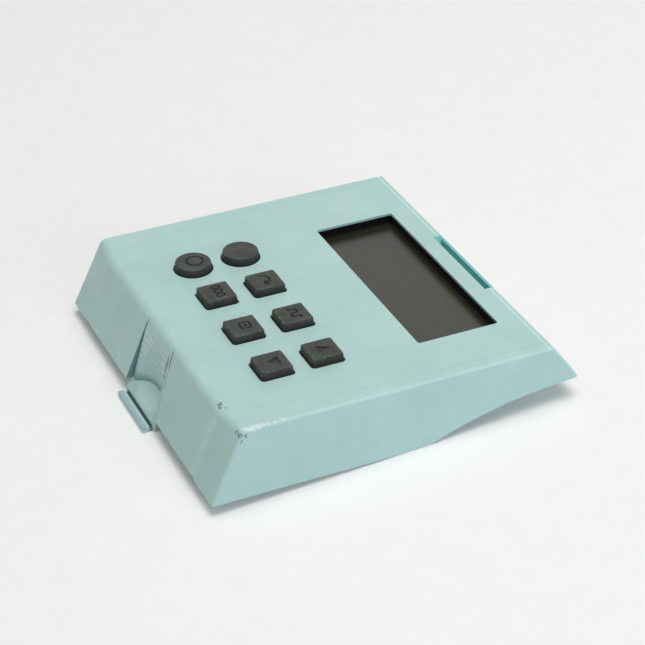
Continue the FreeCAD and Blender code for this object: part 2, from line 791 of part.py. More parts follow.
def chip(across, along, width, height, tall, pitch, lead_count_x, lead_count_y):
    """Moulded chip with rows of leads along X on two sides and along Y on the other two."""
    x, y = under_board(across, along)
    body = box(x - width / 2, x + width / 2, y - height / 2, y + height / 2,
               board_under - tall, board_under - chip_standoff)
    leads = []
    for sign in (-1, 1):
        for i in range(lead_count_x):
            step = (i - (lead_count_x - 1) / 2) * pitch
            leads.append(lead(x + step, y + sign * height / 2, sign * quarter_turn, tall))
        for i in range(lead_count_y):
            step = (i - (lead_count_y - 1) / 2) * pitch
            turn = quarter_turn - sign * quarter_turn
            leads.append(lead(x + sign * width / 2, y + step, turn, tall))
    return body.fuse(leads).removeSplitter()


def crystal():
    """Metal can of the clock crystal."""
    x, y = under_board(crystal_across, crystal_along)
    return prism_up(rectangle(x, y, crystal_width, crystal_height, crystal_corner),
                    board_under - crystal_tall, board_under)


def capacitors():
    """Aluminium capacitors on square bases."""
    cans = []
    for i in range(can_count):
        x, y = under_board(can_across + i * can_pitch, can_along)
        foot = prism_up(rectangle(x, y, can_base, can_base, can_base_corner),
                        board_under - can_base_thick, board_under)
        can = cylinder(x, y, can_radius, board_under - can_tall, board_under - can_base_thick)
        rim = edges_between(can, lambda p: p.z < board_under - can_tall + match)
        cans.append(foot.fuse(can.makeChamfer(can_bevel, rim)))
    return Part.makeCompound(cans)


# Key name, column, row, round or square
KEYS = [("stop", 0, 0, True), ("start", 0, 1, True), ("jog", 1, 0, False), ("reverse", 1, 1, False),
        ("program", 2, 0, False), ("function", 2, 1, False), ("down", 3, 0, False), ("up", 3, 1, False)]
OUTER = outer_form()

nodes = {
    "front_housing": front_housing(),
    "latch_tongue": latch_tongue(),
    "keypad_sheet": keypad_sheet(),
    "main_board": main_board(),
    "lcd_glass": lcd_glass(),
    "lcd_backing": lcd_backing(),
    "zebra_strips": zebra_strips(),
    "lcd_frame": lcd_frame(),
    "dust_gasket": dust_gasket(),
    "connector_shroud": connector_shroud(),
    "connector_pins": connector_pins(),
    "rear_cover": rear_cover(),
    "cover_screws": cover_screws(),
    "board_screws": board_screws(),
    "crystal": crystal(),
    "capacitors": capacitors(),
}
for name, sizes in CHIPS.items():
    nodes[name] = chip(**sizes)
for name, column, row, is_round in KEYS:
    nodes["key_" + name] = key_cap(column, row, is_round)
    nodes["pill_" + name] = key_pill(column, row)
    nodes["web_" + name] = key_web(column, row)

os.makedirs("parts", exist_ok=True)
for name, shape in nodes.items():
    shape.exportStep("parts/" + name + ".step")
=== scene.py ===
import math

import bmesh
import bpy
import numpy as np
from mathutils import Matrix, Vector


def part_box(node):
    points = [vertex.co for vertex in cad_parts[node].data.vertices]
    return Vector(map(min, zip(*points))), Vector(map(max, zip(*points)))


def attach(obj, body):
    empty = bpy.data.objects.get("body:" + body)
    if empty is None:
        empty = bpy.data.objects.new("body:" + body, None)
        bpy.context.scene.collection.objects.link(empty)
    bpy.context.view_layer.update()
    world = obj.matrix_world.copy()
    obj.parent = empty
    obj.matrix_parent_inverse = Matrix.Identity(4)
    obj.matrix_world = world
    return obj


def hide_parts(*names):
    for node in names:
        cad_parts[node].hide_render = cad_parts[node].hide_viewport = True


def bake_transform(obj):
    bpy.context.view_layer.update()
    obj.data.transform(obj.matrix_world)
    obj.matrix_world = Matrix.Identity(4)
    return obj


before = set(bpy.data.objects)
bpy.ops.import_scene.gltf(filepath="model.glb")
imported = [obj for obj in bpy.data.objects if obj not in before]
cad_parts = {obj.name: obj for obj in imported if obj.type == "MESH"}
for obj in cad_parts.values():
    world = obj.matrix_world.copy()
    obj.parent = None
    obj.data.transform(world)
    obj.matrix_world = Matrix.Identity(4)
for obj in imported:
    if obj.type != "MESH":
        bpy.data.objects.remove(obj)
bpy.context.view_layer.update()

# Front housing: one injection moulding in pale green ABS that carries all the rest. The tool's spark-eroded
# face leaves a fine even grain, and a shallow step runs along both sides of the face. Years of handling
# chipped and whitened the corner beside the key end.

mm = 0.001                 # the frame is in metres, and the sizes below are in millimetres


def box(node):
    """A CAD node's two far corners in millimetres, to the micrometre."""
    return np.round(np.array(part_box(node)) / mm, 3)


shell_low, shell_high = box("front_housing")
latch_low, latch_high = box("latch_tongue")
depth = shell_high[2]      # back plane to face
key_end = shell_low[1]     # rim of the key-end wall
hair = 0.01                # points on a border count as past it
end_lean = 17.4            # degrees the solid's key-end wall leans in
end_lean_seen = 22.2       # degrees that the photograph shows
end_round = 3.0            # radius of the solid's edge between key-end wall and face
end_round_seen = 1.6       # radius that the photograph shows
round_skin = 0.15          # what lies this near to that rounding, or farther out, belongs to it
round_slack = 0.02         # and this far past its ends
end_wall = 1.75            # what lies this near to the key-end wall's outside is wall
wall_zone = 2.3            # what lies this near to the key-end wall moves with it
wall_fade = 8.0            # what lies this far from it stays
end_reach = 6.0            # the latch slot and its slits lie this near to the key end
rim_reach = 7.0            # and its rim this near
side_inner = 34.0          # middle plane to the inside of the side walls
facet_from, facet_to = 27.0, 36.2     # across the corner facets, the change of lean falls off
facet_start, facet_run = 27.4, 8.3    # inner corner of a facet at the face, and its width
facet_back = 2.3           # set-back of the facets' outer corners at the face
nose_top = 30.365          # display-end edge of the face
nose_lean = 38.0           # degrees the display-end wall leans out
nose_wall = 2.2            # what lies this near to its outside is wall
nose_out_face = 0.6        # how much farther out it stands at the face
nose_out_tip = 0.3         # and at its tip
slot_near = 29.345         # near side of the hook slot
slot_stay = 29.54          # the slot widens to both sides of this line
slot_stretch = 0.77        # by this share of the distance from it
slot_back = 0.15           # how far its near side moves
slot_fade = 27.0           # nothing moves from here on towards the keys
latch_x = (latch_low[0] + latch_high[0]) / 2
latch_half = 9.5           # half width of the stretch with the latch
hollow_half = 7.2          # half width of the slot in the wall
tongue_half = 5.0          # half width of the tongue's middle, which does not shift
slit_places = (-5.35, 8.35)           # the slits' middles, to the left and right of the tongue
slit_zone = 0.45           # the slits' points lie this near to those places
slit_skin = 1.3            # their outer edges lie this near to the wall's outside
slit_left, slit_right = 0.5, 1.2      # how far the slits' upper ends shift
bend_line = latch_high[2] + hair      # the latch slot ends here, and its two slits go on, which are pulled down
bend_squeeze = 0.43        # share of the slits' height above that line which is left


def rim_line(y, start, level, hump, steep, straight, hollow, gentle):
    """Height of the side walls' rim along the panel: flat up to the start, an arc up, a short steep line,
    an arc the other way round and a gentle line to the tip. Each arc is level plus radius less the root of
    radius squared minus distance squared."""
    steep, gentle = math.radians(steep), math.radians(gentle)
    hump_end = start + hump * math.sin(steep)
    hump_top = level + hump * (1 - math.cos(steep))
    turn = hump_end + straight * math.cos(steep)
    turn_top = hump_top + straight * math.sin(steep)
    middle = turn + hollow * math.sin(steep)
    middle_low = turn_top - hollow * math.cos(steep)
    last = middle - hollow * math.sin(gentle)
    last_top = middle_low + hollow * math.cos(gentle)
    first_arc = level + hump - np.sqrt(np.maximum(hump ** 2 - (y - start) ** 2, 0))
    second_arc = middle_low + np.sqrt(np.maximum(hollow ** 2 - (y - middle) ** 2, 0))
    line = hump_top + (y - hump_end) * math.tan(steep)
    stretches = [y < start, y < hump_end, y < turn, y < last]
    heights = [level + 0 * y, first_arc, line, second_arc]
    return np.select(stretches, heights, last_top + (y - last) * math.tan(gentle))


solid_rim = dict(start=7.0, level=0.0, hump=3.5, steep=32.0, straight=0.43, hollow=19.98, gentle=7.5)
seen_rim = dict(start=1.58, level=-0.43, hump=20.85, steep=18.75, straight=0.35, hollow=91.7, gentle=2.8)
end_rim_seen = 0.2         # rim of the key-end wall between its facets
end_rim_half = 28.5        # half its length


def lean_more(x, y, z):
    """The key-end wall leans in more: what is near it moves in by its height times the change of slope,
    less towards the outer corners of the facets."""
    more = math.tan(math.radians(end_lean_seen)) - math.tan(math.radians(end_lean))
    away = y - key_end - z * math.tan(math.radians(end_lean))
    near = np.clip((wall_fade - away) / (wall_fade - wall_zone), 0, 1)
    inside = np.clip((facet_to - np.abs(x)) / (facet_to - facet_from), 0, 1)
    return y + more * np.maximum(z, 0) * near * inside


def near_slit(x):
    """Whether a point lies at one of the two slits beside the tongue."""
    return np.minimum(np.abs(x - slit_places[0]), np.abs(x - slit_places[1])) < slit_zone


def trim_slits(x, y, z):
    """The latch slits end lower and a little to the left: heights above the bending line are squeezed onto
    the plane of the wall, and the rest shifts by its share of that height."""
    at_end = y < key_end + end_reach
    upper = near_slit(x) & at_end & (z > bend_line)
    low = np.where(upper, bend_line + (z - bend_line) * bend_squeeze, z)
    slope = math.tan(math.radians(end_lean))
    outer = upper & (y < key_end + bend_line * slope + slit_skin)
    flat = np.where(outer, key_end + low * slope, y)
    beside = np.abs(x - latch_x)
    shift = np.where(x < latch_x, slit_left, slit_right) * np.clip(z / bend_line, 0, 1)
    shifted = at_end & (beside < latch_half) & (beside > tongue_half)
    return np.where(shifted, x - shift, x), flat, low


def sharpen(x, y, z):
    """The edge between key-end wall and face is sharper: points on its rounding move towards the line where
    wall and face would meet, by the ratio of the two radii."""
    slope = math.radians(end_lean)
    facet = facet_back * np.clip((np.abs(x) - facet_start) / facet_run, 0, 1)
    edge = key_end + depth * math.tan(slope) + facet
    tangent = end_round * math.tan(math.pi / 4 - slope / 2)
    outer = np.hypot(y - edge - tangent, z - depth + end_round) > end_round - round_skin
    zone = outer & (z > depth - tangent * math.cos(slope) - round_slack) & (y < edge + tangent + round_slack)
    in_slot = (np.abs(x - latch_x) < hollow_half) & (z < bend_line)
    ratio = np.where(zone & ~in_slot & ~near_slit(x), end_round_seen / end_round, 1.0)
    return edge + (y - edge) * ratio, depth - (depth - z) * ratio


def reach_out(y, z):
    """The display-end wall stands farther out and the hook slot is wider: along the panel, distances from a
    line in the slot are stretched, up to what the wall gains at that height."""
    gain = nose_out_tip + (nose_out_face - nose_out_tip) * np.clip(z / depth, 0, 1)
    wider = np.clip(slot_stretch * (y - slot_stay), -slot_back, gain)
    before = -slot_back * np.clip((y - slot_fade) / (slot_near - slot_fade), 0, 1)
    return y + np.where(y > slot_near - hair, wider, before)


def follow_rim(x, y, z):
    """The walls' lower edges follow the rim line that the photograph shows: points move by the change at
    the rim times their share of the way down from the face, or from the bending line at the key end."""
    old = rim_line(y, **solid_rim)
    at_end = (y < key_end + rim_reach) & (np.abs(x) < end_rim_half)
    new = np.where(at_end, end_rim_seen, rim_line(y, **seen_rim))
    top = np.where(at_end, bend_line, depth)
    share = np.clip((top - z) / (top - old), 0, 1)
    nose = nose_top + (depth - z) * math.tan(math.radians(nose_lean))
    end = key_end + z * math.tan(math.radians(end_lean))
    in_wall = (np.abs(x) > side_inner) | (y > nose - nose_wall) | (y < end + end_wall)
    return np.where(in_wall, z + (new - old) * share, z)


def housing_form(points):
    """All the changes to the housing, one after the other."""
    x, y, z = points.T
    y, z = sharpen(x, y, z)
    x, y, z = trim_slits(x, y, z)
    z = follow_rim(x, y, z)
    return np.stack([x, reach_out(lean_more(x, y, z), z), z], -1)


def latch_form(points):
    """The changes to the key-end wall that the tongue shares."""
    x, y, z = points.T
    x, y, z = trim_slits(x, y, z)
    return np.stack([x, lean_more(x, y, z), z], -1)


weld = 0.0005              # points nearer than this are one
moulded_crease = 25.0      # edges that turn by more degrees stay sharp


def put(name, data):
    """Puts an object with this data into the scene, at the origin."""
    thing = bpy.data.objects.new(name, data)
    bpy.context.scene.collection.objects.link(thing)
    return thing


def smooth(mesh, crease):
    """Shades a mesh smooth, up to edges that turn by more than the crease's degrees."""
    mesh.shade_smooth()
    mesh.set_sharp_from_angle(angle=math.radians(crease))


def reshaped(node, name, form, cuts):
    """A welded copy of a CAD node's mesh, with more points where planes cut across it, moved by a form."""
    work = bmesh.new()
    work.from_mesh(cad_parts[node].data)
    bmesh.ops.remove_doubles(work, verts=work.verts, dist=weld * mm)
    for axis, place in cuts:
        normal = np.eye(3)[axis]
        bmesh.ops.bisect_plane(work, geom=work.verts[:] + work.edges[:] + work.faces[:], dist=weld * mm,
                               plane_co=normal * place * mm, plane_no=normal)
    bmesh.ops.triangulate(work, faces=work.faces)
    mesh = bpy.data.meshes.new(name)
    work.to_mesh(mesh)
    work.free()
    points = np.empty(3 * len(mesh.vertices))
    mesh.vertices.foreach_get("co", points)
    mesh.vertices.foreach_set("co", (form(points.reshape(-1, 3) / mm) * mm).ravel())
    for left_over in ("custom_normal", "sharp_edge"):
        if left_over in mesh.attributes:
            mesh.attributes.remove(mesh.attributes[left_over])
    mesh.materials.clear()
    mesh.update()
    smooth(mesh, moulded_crease)
    return put(name, mesh)


rim_cuts = range(0, 36)    # across the side walls, where the rim rises
wall_cuts = (-29.0, -28.0, -5.85, -4.85, 7.85, 8.85, 28.0, 29.0)   # beside the corner facets and the slits
housing_cuts = [(1, y) for y in rim_cuts] + [(0, x) for x in wall_cuts]
housing = reshaped("front_housing", "housing_moulding", housing_form, housing_cuts)

field_right = 33.3         # middle plane to the raised field's right edge
field_left = 34.1
field_end = 30.1           # its edge at the display end
field_bend_from = 8.0      # from here on the sides bend inwards, towards the key end
field_bend = 0.0034        # inward bend per square millimetre
field_step = 0.1           # the border below the field
border_points = 40         # along each side
border_wide = 60.0         # middle plane to the bar's outside, well past the walls
border_past = 30.0         # and past the display end
border_tall = 5.0          # and above the face
ring_crease = 40.0         # degrees, as above


def ring_mesh(name, x, y, z, **values):
    """A closed surface through rings of points, in millimetres, from the lowest ring to the highest. The
    first and last rings shrink to a point. Further values are kept for each point as attributes."""
    rings, count = x.shape
    points = np.stack([x, y, z], -1)[1:-1].reshape(-1, 3)
    ends = np.array([[x[0, 0], y[0, 0], z[0, 0]], [x[-1, 0], y[-1, 0], z[-1, 0]]])
    vertices = np.concatenate([points, ends]) * mm
    index = np.arange(len(points)).reshape(rings - 2, count)
    turned = np.roll(index, -1, axis=1)
    quads = np.stack([index[:-1], turned[:-1], turned[1:], index[1:]], -1).reshape(-1, 4)
    low = np.stack([np.full(count, len(points)), turned[0], index[0]], -1)
    high = np.stack([np.full(count, len(points) + 1), index[-1], turned[-1]], -1)
    mesh = bpy.data.meshes.new(name)
    mesh.from_pydata(vertices.tolist(), [], quads.tolist() + low.tolist() + high.tolist())
    for title, value in values.items():
        kept = np.concatenate([value[1:-1].ravel(), [value[0, 0], value[-1, 0]]])
        mesh.attributes.new(title, "FLOAT", "POINT").data.foreach_set("value", kept.astype(np.float32))
    smooth(mesh, ring_crease)
    return put(name, mesh)


def lower_border():
    """The border of the face, as a bar with a square section that is cut away: its inner side follows the
    field, whose sides bend in by the square of the way past the start of the bend."""
    along = np.linspace(field_end, key_end, border_points)
    past = along + np.where(along > field_end - hair, border_past, 0.0)
    inward = field_bend * np.maximum(field_bend_from - along, 0) ** 2
    inner_x = np.concatenate([(field_right - inward)[::-1], inward - field_left])
    inner_y = np.concatenate([along[::-1], along])
    outer_x = np.repeat([border_wide, -border_wide], border_points)
    outer_y = np.concatenate([past[::-1], past])
    x = np.stack([inner_x, outer_x, outer_x, inner_x], -1)
    y = np.stack([inner_y, outer_y, outer_y, inner_y], -1)
    z = np.tile([depth - field_step] * 2 + [depth + border_tall] * 2, (2 * border_points, 1))
    ends = [np.repeat(value[[0, -1]].mean(axis=1, keepdims=True), 4, axis=1) for value in (x, y, z)]
    x, y, z = (np.concatenate([end[:1], value, end[1:]]) for value, end in zip((x, y, z), ends))
    return ring_mesh("face_border", x, y, z)


def cut_away(piece, tool):
    """Cuts a tool piece out of another and removes the tool."""
    cut = piece.modifiers.new("cut", "BOOLEAN")
    cut.operation = "DIFFERENCE"
    cut.solver = "EXACT"
    cut.object = tool
    mesh = bpy.data.meshes.new_from_object(piece.evaluated_get(bpy.context.evaluated_depsgraph_get()))
    piece.modifiers.clear()
    piece.data = mesh
    bpy.data.objects.remove(tool)
    smooth(mesh, moulded_crease)


cut_away(housing, lower_border())


def linear(colour):
    """Turns an sRGB hex colour to linear RGBA: dark channels are divided, the rest follow the 2.4 power."""
    channels = np.array([int(colour[i:i + 2], 16) for i in (1, 3, 5)]) / 255
    bent = np.where(channels <= 0.04045, channels / 12.92, ((channels + 0.055) / 1.055) ** 2.4)
    return (*bent.tolist(), 1.0)


def add(tree, kind, settings, links):
    """Adds a shader node. Settings go to its properties or sockets, and links join its sockets to sources."""
    node = tree.nodes.new("ShaderNode" + kind)
    for name, value in settings.items():
        if isinstance(name, str) and hasattr(node, name):
            setattr(node, name, value)
        else:
            node.inputs[name].default_value = value
    for name, source in links.items():
        tree.links.new(source, node.inputs[name])
    return node


def start_material(name):
    """Starts a material: returns it, its node tree and the place on the piece in millimetres."""
    material = bpy.data.materials.new(name)
    material.use_nodes = True
    tree = material.node_tree
    tree.nodes.clear()
    metres = add(tree, "TexCoord", {}, {}).outputs["Object"]
    place = add(tree, "VectorMath", {"operation": "SCALE", "Scale": 1 / mm}, {0: metres})
    return material, tree, place.outputs[0]


def close_material(tree, settings, links):
    """Ends a material with its shader and output."""
    shader = add(tree, "BsdfPrincipled", settings, links)
    add(tree, "OutputMaterial", {}, {"Surface": shader.outputs[0]})


def clouded(tree, place, colour, other, size, detail, low=0.0, high=1.0, fine=0.5):
    """Two colours that change over with a noise, whose patches have a real size in millimetres: one up to
    the noise's low level, the other from its high level on. detail is the number of its finer layers, and
    fine their strength. Returns the noise too."""
    settings = {"Scale": 1 / size, "Detail": detail, "Roughness": fine}
    noise = add(tree, "TexNoise", settings, {"Vector": place}).outputs["Fac"]
    share = add(tree, "MapRange", {"From Min": low, "From Max": high}, {"Value": noise}).outputs[0]
    mix = add(tree, "Mix", {"data_type": "RGBA", 6: linear(colour), 7: linear(other)}, {0: share})
    return noise, mix.outputs[2]


noise_span = {"From Min": 0.3, "From Max": 0.7}   # nearly all of a noise lies between these levels


def stain(tree, colour, mark, level, *masks):
    """Colours what a mark covers. The mark is a hex colour, the level at which it shows in full, the level at
    which it is gone, and its strength. Masks between 0 and 1 hold it off."""
    other, full, gone, strength = mark
    settings = {"From Min": full, "From Max": gone, "To Min": strength, "To Max": 0.0}
    share = add(tree, "MapRange", settings, {"Value": level}).outputs[0]
    for mask in masks:
        share = add(tree, "Math", {"operation": "MULTIPLY"}, {0: share, 1: mask}).outputs[0]
    return add(tree, "Mix", {"data_type": "RGBA", 7: linear(other)}, {0: share, 6: colour}).outputs[2]


def away_from(tree, value, middle):
    """How far a value lies from a middle, to either side."""
    shifted = add(tree, "Math", {"operation": "SUBTRACT", 1: middle}, {0: value}).outputs[0]
    return add(tree, "Math", {"operation": "ABSOLUTE"}, {0: shifted}).outputs[0]


def beyond_box(tree, place, low, high):
    """How far a place lies outside a box along each axis: its distance from the middle less half the size."""
    middle, half = (low + high) / 2, (high - low) / 2
    away = add(tree, "VectorMath", {"operation": "SUBTRACT", 1: middle}, {0: place}).outputs[0]
    away = add(tree, "VectorMath", {"operation": "ABSOLUTE"}, {0: away}).outputs[0]
    away = add(tree, "VectorMath", {"operation": "SUBTRACT", 1: half}, {0: away}).outputs[0]
    return add(tree, "SeparateXYZ", {}, {0: away}).outputs


abs_green = "#B4D6D1"
abs_clouded = "#ACCEC9"
abs_cloud_size = 14.0      # millimetres between paler and duller patches
abs_grain_size = 0.3       # the real grain is about 0.1 mm and would not show
abs_grain_deep = 0.012
abs_ior = 1.53
abs_roughness = (0.44, 0.52)          # from the paler to the duller patches
abs_glow = 0.2             # share of the light that spreads below the surface
abs_glow_reach = (0.35, 0.9, 0.9)     # millimetres: red dies out first, so thin edges look teal


def moulded_abs(name, own_marks, glow):
    """Spark-eroded ABS: an even soft sheen, a fine grain, and colour that clouds a little with age.
    own_marks takes that colour and returns it with what one piece alone shows."""
    material, tree, place = start_material(name)
    clouds, green = clouded(tree, place, abs_green, abs_clouded, abs_cloud_size, detail=9.0, low=0.35,
                            high=0.65, fine=0.7)
    dull = {**noise_span, "To Min": abs_roughness[0], "To Max": abs_roughness[1]}
    rough = add(tree, "MapRange", dull, {"Value": clouds}).outputs[0]
    grain = add(tree, "TexNoise", {"Scale": 1 / abs_grain_size, "Detail": 2.0}, {"Vector": place})
    pits = {**noise_span, "To Min": 0.0, "To Max": abs_grain_deep}
    height = add(tree, "MapRange", pits, {"Value": grain.outputs["Fac"]}).outputs[0]
    bump = add(tree, "Bump", {"Strength": 1.0, "Distance": mm}, {"Height": height})
    colour = own_marks(tree, place, green)
    close_material(tree, {"IOR": abs_ior, "Subsurface Weight": glow, "Subsurface Radius": abs_glow_reach,
                          "Subsurface Scale": mm},
                   {"Base Color": colour, "Roughness": rough, "Normal": bump.outputs[0]})
    return material


# a pale colour that paints the highlight on rounded edges
painted_edge_highlight = "#D8EFEA"
painted_edge_highlight_mark = (painted_edge_highlight, 0.08, 0.16, 0.8)   # painted highlight along the face's edge at the display end: colour, full at, gone at, strength
painted_step_shade_mark = ("#93B8B1", 0.1, 0.3, 0.2)     # painted shade along the step at the field's sides
face_skin = (0.3, 0.2)     # the face's marks come in between these depths
# painted shade in the latch slits
painted_slit_shade = "#5B8C90"
wall_lines = [  # x at the rim, lean, half width, strength and colour of lines up the key-end wall: painted shade in the two slits and a painted highlight along a facet's edge
    (-6.2, 0.031, 0.07, 0.85, painted_slit_shade), (9.2, -0.181, 0.2, 0.9, painted_slit_shade),
    (27.1, 0.046, 1.3, 0.2, painted_edge_highlight)]
wall_lines_end = (1.6, 2.2)                # they come in between these depths below the face
painted_slot_light_mark = ("#A8ECE8", 0.0, 0.1, 0.9)     # painted light around the hook slot, for the light that comes through
slot_low = np.array([-8.7, 29.3, 9.0])     # corners of the hook slot with its lip
slot_high = np.array([12.7, 31.55, 12.95])
painted_lip_glow_and_shade_mark = ("#62B4B6", 0.0, 0.1, 0.9)      # painted glow and shade on its thin lip
lip_from = (30.95, 31.05)  # it comes in between these places along the panel
chip_colour = "#5E6663"
chips = [  # x, y, z and radius of the dark chips
    (26.5, -29.7, 13.0, 0.6), (27.3, -29.9, 12.9, 0.6), (27.8, -29.3, 13.1, 0.4), (34.3, -29.8, 12.3, 0.5),
    (35.5, -29.6, 12.2, 0.65), (35.8, -28.8, 12.1, 0.45), (35.8, -29.7, 11.1, 0.5)]
rub_colour = "#DCE9E6"
rubs = [  # x, y, z and radius of the whitened rubs
    (35.2, -28.8, 12.9, 0.75), (35.3, -28.0, 13.0, 0.7), (35.2, -27.1, 13.0, 0.7), (35.3, -26.3, 13.1, 0.65),
    (35.2, -25.4, 13.1, 0.6), (35.3, -24.4, 13.1, 0.55), (35.2, -23.3, 13.1, 0.5), (35.2, -21.6, 13.1, 0.45),
    (35.2, -19.3, 13.1, 0.4)]
wear_strength = 0.8        # of all the worn spots
ragged = 0.9               # how far noise pulls the worn spots' edges, in millimetres
ragged_size = 0.75         # millimetres between such pulls


def housing_marks(tree, place, colour):
    """A painted highlight along the face's edge at the display end, painted shade along the field's sides,
    which follows the same bend as the step, painted shade in the slits and a painted highlight along a facet's
    edge up the key-end wall, painted light around the hook slot with painted glow and shade on its thin lip,
    for the light that comes through, and the worn corner, whose spots have their edges pulled about by noise."""
    x, y, z = add(tree, "SeparateXYZ", {}, {0: place}).outputs
    skin = {"From Min": depth - face_skin[0], "From Max": depth - face_skin[1]}
    on_face = add(tree, "MapRange", skin, {"Value": z}).outputs[0]
    colour = stain(tree, colour, painted_edge_highlight_mark, away_from(tree, y, field_end), on_face)
    behind = add(tree, "Math", {"operation": "SUBTRACT", 0: field_bend_from}, {1: y}).outputs[0]
    behind = add(tree, "Math", {"operation": "MAXIMUM", 1: 0.0}, {0: behind}).outputs[0]
    square = add(tree, "Math", {"operation": "POWER", 1: 2.0}, {0: behind}).outputs[0]
    bend = add(tree, "Math", {"operation": "MULTIPLY", 1: field_bend}, {0: square}).outputs[0]
    for side, edge in ((1.0, field_right), (-1.0, field_left)):
        out = add(tree, "Math", {"operation": "MULTIPLY_ADD", 1: side}, {0: x, 2: bend}).outputs[0]
        colour = stain(tree, colour, painted_step_shade_mark, away_from(tree, out, edge), on_face)
    near_end = {"From Min": key_end + rim_reach, "From Max": key_end + end_reach}
    at_end = add(tree, "MapRange", near_end, {"Value": y}).outputs[0]
    under = {"From Min": depth - wall_lines_end[0], "From Max": depth - wall_lines_end[1]}
    below = add(tree, "MapRange", under, {"Value": z}).outputs[0]
    for foot, lean, half, strength, mark_colour in wall_lines:
        off = add(tree, "Math", {"operation": "MULTIPLY_ADD", 1: -lean}, {0: z, 2: x}).outputs[0]
        line = (mark_colour, half / 3, half, strength)
        colour = stain(tree, colour, line, away_from(tree, off, foot), at_end, below)
    beyond = beyond_box(tree, place, slot_low, slot_high)
    out = add(tree, "Math", {"operation": "MAXIMUM"}, {0: beyond[0], 1: beyond[1]}).outputs[0]
    out = add(tree, "Math", {"operation": "MAXIMUM"}, {0: out, 1: beyond[2]}).outputs[0]
    colour = stain(tree, colour, painted_slot_light_mark, out)
    thin = {"From Min": lip_from[0], "From Max": lip_from[1]}
    on_lip = add(tree, "MapRange", thin, {"Value": y}).outputs[0]
    colour = stain(tree, colour, painted_lip_glow_and_shade_mark, out, on_lip)
    noise = add(tree, "TexNoise", {"Scale": 1 / ragged_size, "Detail": 3.0}, {"Vector": place})
    pull = add(tree, "VectorMath", {"operation": "SUBTRACT", 1: (0.5, 0.5, 0.5)}, {0: noise.outputs["Color"]})
    torn = add(tree, "VectorMath", {"operation": "MULTIPLY_ADD", 1: (2 * ragged,) * 3},
               {0: pull.outputs[0], 2: place}).outputs[0]
    for spots, mark_colour in ((rubs, rub_colour), (chips, chip_colour)):
        for *middle, radius in spots:
            away = add(tree, "VectorMath", {"operation": "DISTANCE", 1: middle}, {0: torn}).outputs["Value"]
            colour = stain(tree, colour, (mark_colour, 0.5 * radius, radius, wear_strength), away)
    return colour


housing.data.materials.clear()
housing.data.materials.append(moulded_abs("moulded_abs_housing", housing_marks, abs_glow))
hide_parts("front_housing")
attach(housing, "housing")

# Latch tongue: a sprung tongue of the same ABS, moulded in one with the wall above it. Its thumb hollow was
# milled into the tool in passes, so the moulding shows low terraces, with pale dust on their edges.

pass_deep = 0.38           # each pass of the cutter goes this much deeper, in millimetres
pass_step = 0.22           # share of it that shows as a step
pass_y, pass_z = 0.6, 0.16            # depth of the cutter along the panel and upwards
pass_low, pass_high = 2.2, 10.9       # heights between which the passes show
pass_fade = 0.1            # the dust on them fades over this height
hollow_deep = 2.0          # what lies this near to the wall's outside is in the hollow
ledge_height = 1.6         # thumb ledge at its inner side
ledge_inner = -32.25       # its inner side
ledge_fall = math.tan(math.radians(33.0))
ledge_clear = 0.2          # the terraces end this far above the ledge
milled_rows = np.arange(2.0, bend_line, 0.11)     # cuts that give the terraces their points
milled_columns = np.arange(-5.0, 9.0, 0.6)


def milled_form(points):
    """The tongue's form, with the cutter's passes in its hollow: the depth divided by that of a pass leaves a
    fraction, and the surface moves by a share of it, which makes a low terrace of each pass."""
    x, y, z = points.T
    slope = math.tan(math.radians(end_lean))
    over = z - ledge_height - (y - ledge_inner) * ledge_fall
    milled = (y < key_end + z * slope + hollow_deep) & (over > ledge_clear) & (z > pass_low) & (z < pass_high)
    x, y, z = latch_form(points).T
    terrace = pass_step * pass_deep * (0.5 - (pass_y * y + pass_z * z) / pass_deep % 1.0)
    return np.stack([x, y + np.where(milled, terrace, 0.0), z], -1)


milled_cuts = [(2, z) for z in milled_rows] + [(0, x) for x in milled_columns]
tongue = reshaped("latch_tongue", "latch_moulding", milled_form, milled_cuts)

latch_glow = 0.1           # thicker than the walls, so less light comes through
arc_mark = ("#D6E6E3", 0.1, 0.45, 0.4)     # dust on the passes' edges, in shares of a pass
painted_scoop_shade_mark = ("#5D8B89", 0.15, 1.7, 0.95)  # painted shade in the hollow above the ledge
scoop_from = (0.08, 0.14)  # the hollow's marks come in between these heights above the ledge
catch_y = -36.6            # inner side of the catch lip
# painted bluish shade on the catch lip
painted_catch_lip_shade = ("#B2CDD3", catch_y - 0.05, catch_y + 0.05, 0.6)
catch_top = (-1.1, -1.2)   # the lip's marks come in between these heights
groove_y = catch_y + 0.27  # middle of the groove beside it
# painted shade in the groove
painted_groove_shade_mark = ("#587E80", 0.26, 0.32, 0.85)


